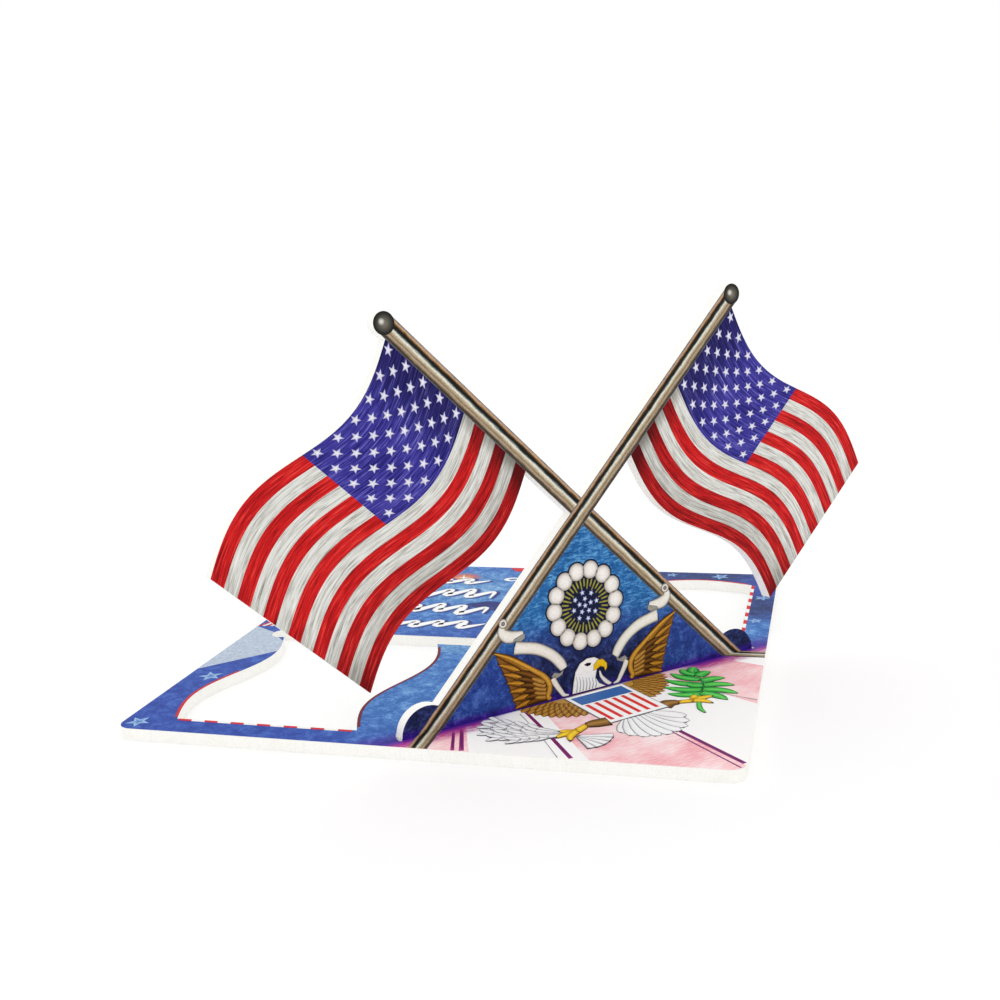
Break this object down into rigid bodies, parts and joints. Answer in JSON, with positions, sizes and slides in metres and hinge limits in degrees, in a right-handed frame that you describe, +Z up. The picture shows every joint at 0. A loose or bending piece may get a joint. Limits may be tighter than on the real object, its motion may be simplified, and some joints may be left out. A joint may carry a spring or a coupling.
{
  "type": "fold-up flag card",
  "caption": "Square foam board card that lies flat, with a die-cut panel of two crossed waving flags folding up from it along one straight crease to stand on a desk.",
  "frame": {"origin": "centre of the card's underside, on the surface that the card lies on", "axes": "+Z up; X along the crease, so the card's diagonals lie along X and Y; the printed side of the raised panel faces -Y"},
  "size_m": [0.2122, 0.2122, 0.099],
  "materials": {
    "foam_core": "matte white foam, fine cells at the cut edges",
    "printed_face": "satin coated paper with a full-colour pencil-style print",
    "back_liner": "plain uncoated white paper"
  },
  "bodies": {
    "base": {"base_core": "foam_core", "base_print": "printed_face", "base_liner": "back_liner", "crease_hinge": "printed_face"},
    "flag_panel": {"panel_core": "foam_core", "panel_print": "printed_face", "panel_liner": "back_liner"}
  },
  "joints": [
    {"name": "panel_fold", "type": "hinge", "parent": "base", "child": "flag_panel", "pos_m": [0, -0.0492, 0.00308], "axis": [1, 0, 0], "range_deg": [-87, 33]}
  ]
}
